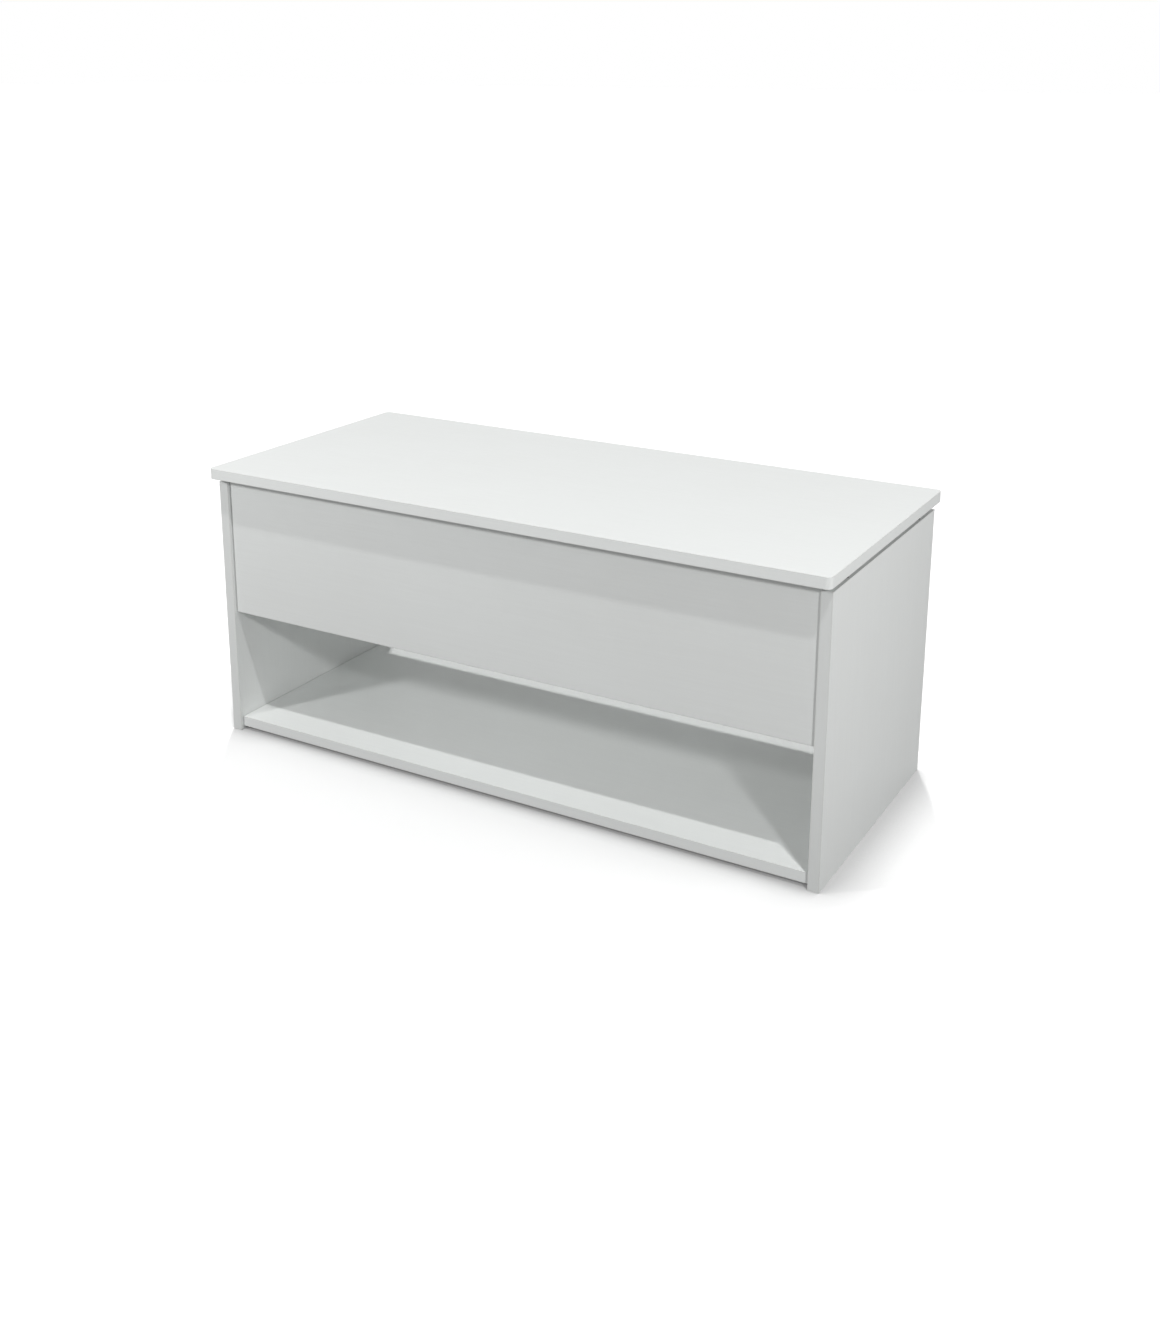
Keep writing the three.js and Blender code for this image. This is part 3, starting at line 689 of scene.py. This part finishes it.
def add_posts(material):
    """The four grooved studs that carry the springs."""
    for side in SIDES:
        for place, plate in (("arm", ARM_STEEL), ("base", BRACKET_STEEL)):
            name = f"spring_post_{place}_{side}"
            origin, inward, length = cross_axis(name, side)
            collar = plate + PIN_PLAY
            groove_end = length - POST_FLANGE
            groove_start = groove_end - POST_GROOVE
            corners = [
                (0, 0, 0),
                (POST_RADIUS, 0, 0.3 * MM),
                (POST_RADIUS, collar, 0),
                (POST_FLANGE_RADIUS, collar, 0.25 * MM),
                (POST_FLANGE_RADIUS, collar + POST_FLANGE / 2, 0.5 * MM),
                (POST_RADIUS, collar + POST_FLANGE, 0.2 * MM),
                (POST_RADIUS, groove_start, 0.3 * MM),
                (POST_GROOVE_RADIUS, groove_start + 0.4 * MM, 0.3 * MM),
                (POST_GROOVE_RADIUS, groove_end - 0.4 * MM, 0.4 * MM),
                (POST_FLANGE_RADIUS, groove_end, 0.25 * MM),
                (POST_FLANGE_RADIUS, length, 0.8 * MM),
                (1.2 * MM, length, 0.2 * MM),
                (0.8 * MM, length - POST_DIMPLE, 0.2 * MM),
                (0, length - POST_DIMPLE, 0),
            ]
            mesh = to_mesh(name + "_detail", turned(corners))
            stand_in(name, mesh, origin, inward, material)


# ---------------------------------------------------------------- springs


def post_groove(place, side):
    """The middle of a spring post's groove."""
    origin, inward, length = cross_axis(f"spring_post_{place}_{side}", side)
    return origin + inward * (length - POST_FLANGE - POST_GROOVE / 2)


def coil_path(start, end, radius):
    """A wire's path from start to end along Y: a tail, the turns, and a tail."""
    along = (end - start).normalized()
    low = start + along * SPRING_TAIL
    high = end - along * SPRING_TAIL
    count = SPRING_TURNS * SPRING_TURN_STEPS
    first = start + along * SPRING_TAIL_GAP
    last = end - along * SPRING_TAIL_GAP
    bend = along * SPRING_TAIL_BEND
    path = []
    for step in range(SPRING_TAIL_STEPS + 1):
        path.append(first.lerp(low - bend, step / SPRING_TAIL_STEPS))
    for step in range(count + 1):
        angle = 2 * math.pi * step / SPRING_TURN_STEPS
        steps_from_end = min(step, count - step)
        reach = radius * min(1.0, steps_from_end / SPRING_OPENING_STEPS)
        offset = Vector((math.sin(angle), 0, math.cos(angle))) * reach
        path.append(low.lerp(high, step / count) + offset)
    for step in range(SPRING_TAIL_STEPS + 1):
        path.append((high + bend).lerp(last, step / SPRING_TAIL_STEPS))
    return path


def add_springs(material):
    """Each side's extension spring: a coil between the two posts' grooves, and an eye round each post."""
    for side in SIDES:
        arm = post_groove("arm", side)
        base = post_groove("base", side)
        node_name = f"lift_spring_{side}"
        low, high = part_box(node_name)
        radius = (high.z - low.z) / 2 - SPRING_WIRE_RADIUS
        shape = swept(coil_path(arm, base, radius), SPRING_WIRE_RADIUS, SPRING_WIRE_SIDES)
        mesh = to_mesh(node_name + "_coil", shape)
        coil = placed(node_name + "_coil", mesh, (0, 0, 0), (0, 0, 1), "root", material)
        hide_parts(node_name)
        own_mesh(coil)
        for place, body in (("arm", f"rear_arm_{side}"), ("base", "root")):
            radius = POST_GROOVE_RADIUS + SPRING_WIRE_RADIUS + SPRING_EYE_PLAY
            eye = closed_ring(radius, SPRING_WIRE_RADIUS, SPRING_EYE_STEPS, SPRING_EYE_SIDES)
            eye_name = f"spring_eye_{place}_{side}"
            centre = post_groove(place, side)
            placed(eye_name, to_mesh(eye_name, eye), centre, (0, 0, 1), body, material)


# ---------------------------------------------------------------- screws, cams, bumpers and glides


def thread_radius(height):
    """The thread's radius round one ring of a screw, as a function of the turn."""
    def radius(turn):
        phase = (height / SCREW_PITCH - turn) % 1.0
        rise = max(0.0, 1 - abs(phase - 0.5) * 4)
        return SCREW_ROOT_RADIUS + (SCREW_CREST_RADIUS - SCREW_ROOT_RADIUS) * rise
    return radius


def screw_mesh(name, shank):
    """A pan head chipboard screw: its seat is at 0, its head above, its thread below."""
    top = SCREW_HEAD
    head = rounded_outline([
        (0, top, 0),
        (SCREW_HEAD_RADIUS * 0.72, top, 1.0 * MM),
        (SCREW_HEAD_RADIUS, top * 0.45, 0.7 * MM),
        (SCREW_HEAD_RADIUS, 0, 0.15 * MM),
        (SCREW_ROOT_RADIUS, 0, 0),
    ])
    rings = [ring(max(point.x, POLE), point.y) for point in head]
    count = round(shank / SCREW_PITCH * SCREW_RINGS_PER_TURN)
    for step in range(1, count + 1):
        depth = shank * step / count
        narrowing = min(1.0, max(SCREW_TIP_SHARE, (shank - depth) / SCREW_POINT))
        thread = thread_radius(depth)
        rings.append(ring(lambda turn: thread(turn) * narrowing, -depth))
    punch = cross_cutter(SCREW_CROSS, SCREW_CROSS_WIDTH, SCREW_CROSS_DEPTH, top + PUNCH_ROOM)
    return carved(name, skinned(rings), punch)


def add_screws(material):
    """The twelve screws of the two hinges."""
    mesh = None
    for side, sign in SIDES.items():
        for part, axis, out in (("base", 0, -sign), ("lid", 2, -1)):
            for number in (1, 2, 3):
                name = f"{part}_screw_{side}_{number}"
                low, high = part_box(name)
                origin = (low + high) / 2
                origin[axis] = (high[axis] if out > 0 else low[axis]) - out * SCREW_HEAD
                mesh = mesh or screw_mesh("screw", high[axis] - low[axis] - SCREW_HEAD)
                direction = [0, 0, 0]
                direction[axis] = out
                stand_in(name, mesh.copy(), origin, direction, material)


def cam_mesh(name):
    """A cam lock: a rimmed cast disc with a cross recess. Its face is at 0 and its body below."""
    corners = [
        (0, -CAM_DEPTH, 0),
        (CAM_RADIUS, -CAM_DEPTH, 0.4 * MM),
        (CAM_RADIUS, 0, 0.4 * MM),
        (CAM_RADIUS - CAM_RIM, 0, 0.2 * MM),
        (CAM_RADIUS - CAM_RIM - 0.3 * MM, -CAM_FACE, 0.2 * MM),
        (POLE, -CAM_FACE, 0),
    ]
    punch = cross_cutter(CAM_CROSS, CAM_CROSS_WIDTH, CAM_CROSS_DEPTH, PUNCH_ROOM, taper=0.75)
    return carved(name, turned(corners), punch)


def add_cams(material):
    """The cam locks of the front and back panels, and those under the two level boards."""
    mesh = cam_mesh("cam")
    for side, sign in SIDES.items():
        for place, out in (("front", 1), ("back", -1)):
            for level in ("lower", "upper"):
                name = f"cam_lock_{place}_{side}_{level}"
                low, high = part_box(name)
                origin = (low + high) / 2
                origin.y = high.y if out > 0 else low.y
                stand_in(name, mesh.copy(), origin, (0, out, 0), material)
        for board in ("compartment_floor", "bottom_shelf"):
            low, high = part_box(board)
            end = high.x if sign > 0 else low.x
            across = end - sign * CAM_INSET
            depth = high.y - low.y
            for place, share in CAM_PLACES.items():
                origin = Vector((across, low.y + share * depth, low.z - CAM_FLOAT))
                name = f"cam_lock_{board}_{place}_{side}"
                placed(name, mesh.copy(), origin, (0, 0, -1), "root", material)


def add_bumpers(material):
    """The four push-in rubber bumpers that the lid rests on."""
    for side in SIDES:
        for place in ("front", "back"):
            name = f"bumper_{place}_{side}"
            low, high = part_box(name)
            middle = (low + high) / 2
            radius = (high.x - low.x) / 2
            height = high.z - low.z
            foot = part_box(f"side_panel_{side}")[1].z + BUMPER_SEAT - low.z
            stem = radius / 2
            corners = [
                (0, 0, 0),
                (stem * 0.7, 0, 0.3 * MM),
                (stem, 1.5 * MM, 0.5 * MM),
                (stem * 0.8, 3 * MM, 0.4 * MM),
                (stem * 0.8, foot, 0.3 * MM),
                (radius, foot, 0.4 * MM),
                (radius, foot + 1.6 * MM, 0.6 * MM),
                (radius * 0.86, foot + 2.4 * MM, 0.5 * MM),
                (radius * 0.74, height, 1.6 * MM),
                (radius * 0.2, height, 0.2 * MM),
                (radius * 0.14, height - BUMPER_DIMPLE, 0.1 * MM),
                (0, height - BUMPER_DIMPLE, 0),
            ]
            mesh = to_mesh(name + "_detail", turned(corners))
            stand_in(name, mesh, (middle.x, middle.y, low.z), (0, 0, 1), material)


def add_glides(material):
    """The four nail-on glides under the bottom shelf."""
    for side in SIDES:
        for place in ("front", "back"):
            name = f"glide_{place}_{side}"
            low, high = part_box(name)
            middle = (low + high) / 2
            radius = (high.x - low.x) / 2
            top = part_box("bottom_shelf")[0].z - GLIDE_SEAT - low.z
            corners = [
                (0, 0, 0),
                (radius - 1.2 * MM, 0, 0.6 * MM),
                (radius, 1.4 * MM, 0.8 * MM),
                (radius, top * 0.55, 0.3 * MM),
                (radius * 0.9, top * 0.62, 0.2 * MM),
                (radius * 0.9, top, 0.3 * MM),
                (GLIDE_NAIL_RADIUS, top, 0.2 * MM),
                (GLIDE_NAIL_RADIUS, high.z - low.z - 2 * MM, 0.2 * MM),
                (POLE, high.z - low.z, 0),
            ]
            mesh = to_mesh(name + "_detail", turned(corners))
            stand_in(name, mesh, (middle.x, middle.y, low.z), (0, 0, 1), material)


# ---------------------------------------------------------------- studio

CAMERA_PLACE = (1.088, -1.861, 1.031)
CAMERA_TURN = 29.8                 # degrees to the left of straight back
CAMERA_TILT = 14.9                 # degrees down
CAMERA_ROLL = 0.2
LENS = 40.8
SENSOR = 36.0
SHIFT = -0.15                      # the object sits below the lens axis
FLOOR_REACH = 60
FLOOR_WHITE = (0.98, 0.98, 0.98)
FLOOR_GLOW = 0.10                  # lifts the floor in view to white outside the closest shadow
PAINTED_SHADOW_REACH = 90 * MM            # the painted soft shadow round the table's base
PAINTED_SHADOW_SHARE = 0.50               # how much of the floor's white is left at the base under the painted shadow
BOUNCE_GREY = (0.25, 0.25, 0.25, 1)   # the floor that lights the table is greyer than the one in view
BOUNCE_DROP = 0.2 * MM

# how bright the studio's walls and ceiling are, by direction
SURROUND = {
    "behind": ((0, 1, 0), 0.43),
    "ahead": ((0, -1, 0), 0.28),
    "leftward": ((-1, 0, 0), 0.37),
    "rightward": ((1, 0, 0), 0.36),
}

# name: degrees to the right of the front, degrees above the floor, strength, softness in degrees
SUNS = {
    "key_overhead": (48, 66, 1.06, 2),
    "back_overhead": (210, 66, 1.42, 3),
}

# name: degrees to the right of the front, degrees above the shelf, power in watts, distance, width
SOFTBOXES = {
    "fill_right": (52, 27, 15.4, 2.6, 0.14),
    "fill_left": (-42, 30, 11.0, 2.0, 0.14),
    "side_right": (98, 22, 2.1, 1.5, 0.40),
}
SOFTBOX_AIM = (0, -0.2, 0.1)


def add_camera():
    """The camera, at the photograph's viewing angle."""
    camera = bpy.data.objects.new("camera", bpy.data.cameras.new("camera"))
    bpy.context.scene.collection.objects.link(camera)
    camera.data.lens = LENS
    camera.data.sensor_width = SENSOR
    camera.data.shift_y = SHIFT
    camera.data.clip_end = 2 * FLOOR_REACH
    turn = Matrix.Rotation(math.radians(CAMERA_TURN), 4, "Z")
    tilt = Matrix.Rotation(math.radians(90 - CAMERA_TILT), 4, "X")
    roll = Matrix.Rotation(math.radians(CAMERA_ROLL), 4, "Z")
    camera.matrix_world = Matrix.Translation(CAMERA_PLACE) @ turn @ tilt @ roll
    bpy.context.scene.camera = camera


def direction_to(azimuth, elevation):
    """The direction from the table to a light."""
    across = math.radians(azimuth)
    up = math.radians(elevation)
    return Vector((math.sin(across) * math.cos(up), -math.cos(across) * math.cos(up), math.sin(up)))


def add_light(name, kind, towards, energy):
    """A light that shines back along `towards`."""
    light = bpy.data.objects.new(name, bpy.data.lights.new(name, kind))
    bpy.context.scene.collection.objects.link(light)
    light.data.energy = energy
    light.rotation_euler = towards.to_track_quat("Z", "Y").to_euler()
    return light


def add_sun(name, azimuth, elevation, strength, softness):
    """A distant soft light."""
    light = add_light(name, "SUN", direction_to(azimuth, elevation), strength)
    light.data.angle = math.radians(softness)


def add_softbox(name, azimuth, elevation, power, distance, width):
    """A square softbox near the table."""
    towards = direction_to(azimuth, elevation)
    light = add_light(name, "AREA", towards, power)
    light.location = Vector(SOFTBOX_AIM) + towards * distance
    light.data.size = width


def add_surround():
    """Soft light from walls and ceiling of their own brightness, seen as pure white behind the object."""
    world = bpy.data.worlds.new("studio")
    world.use_nodes = True
    tree = world.node_tree
    direction = add(tree, "ShaderNodeTexCoord").outputs["Generated"]
    total = 0.0
    for axis, strength in SURROUND.values():
        facing = add(tree, "ShaderNodeVectorMath", {0: direction, 1: axis}, operation="DOT_PRODUCT")
        lobe = compute(tree, "MAXIMUM", facing.outputs["Value"], 0.0)
        total = compute(tree, "ADD", compute(tree, "MULTIPLY", lobe, strength), total)
    in_view = add(tree, "ShaderNodeLightPath").outputs["Is Camera Ray"]
    strength = add(tree, "ShaderNodeMix", {0: in_view, 2: total, 3: 1.0}).outputs[0]
    tree.links.new(strength, tree.nodes["Background"].inputs["Strength"])
    tree.nodes["Background"].inputs["Color"].default_value = (1, 1, 1, 1)
    bpy.context.scene.world = world


def pale_floor():
    """White, with a soft painted shadow close to whatever stands on it."""
    material, tree, shader, _ = started("pale_floor", 0)
    # painted shadow: the floor's white is darkened by ambient occlusion close to the table's base
    openness = add(tree, "ShaderNodeAmbientOcclusion", {"Distance": PAINTED_SHADOW_REACH}, samples=16)
    share = spread(tree, openness.outputs["AO"], 0.55, 0.98, PAINTED_SHADOW_SHARE, 1.0)
    colour = brightened(tree, FLOOR_WHITE, share)
    feed(tree, shader, Base_Color=colour, Roughness=0.9, Specular_IOR_Level=0.0)
    feed(tree, shader, Emission_Color=(1, 1, 1, 1), Emission_Strength=FLOOR_GLOW)
    return material


def bounce_floor():
    """Plain grey."""
    material, tree, shader, _ = started("bounce_floor", 0)
    feed(tree, shader, Base_Color=BOUNCE_GREY, Roughness=0.9, Specular_IOR_Level=0.0)
    return material


def floor_plane(name, height, material):
    """One wide level plane of the stage."""
    mesh = bpy.data.meshes.new(name)
    signs = ((-1, -1), (1, -1), (1, 1), (-1, 1))
    corners = [(x * FLOOR_REACH, y * FLOOR_REACH, height) for x, y in signs]
    mesh.from_pydata(corners, [], [(0, 1, 2, 3)])
    mesh.materials.append(material)
    plane = bpy.data.objects.new(name, mesh)
    bpy.context.scene.collection.objects.link(plane)
    return plane


def add_floor():
    """A plain pale floor in view, and a greyer one just under it that bounces the light."""
    seen = floor_plane("floor", 0, pale_floor())
    seen.visible_diffuse = False
    seen.visible_glossy = False
    seen.visible_shadow = False
    bounce = floor_plane("floor_bounce", -BOUNCE_DROP, bounce_floor())
    bounce.visible_camera = False


# ---------------------------------------------------------------- assembly

dress_boards()
dress_plates(powder_coat())
zinc = zinc_plate()
wire = spring_wire()
add_pins(zinc)
add_posts(zinc)
add_springs(wire)
add_screws(zinc)
add_cams(zinc)
add_bumpers(dark_rubber())
add_glides(black_plastic())

add_camera()
for light_name, settings in SUNS.items():
    add_sun(light_name, *settings)
for light_name, settings in SOFTBOXES.items():
    add_softbox(light_name, *settings)
add_surround()
add_floor()
bpy.context.scene.view_settings.view_transform = "Standard"
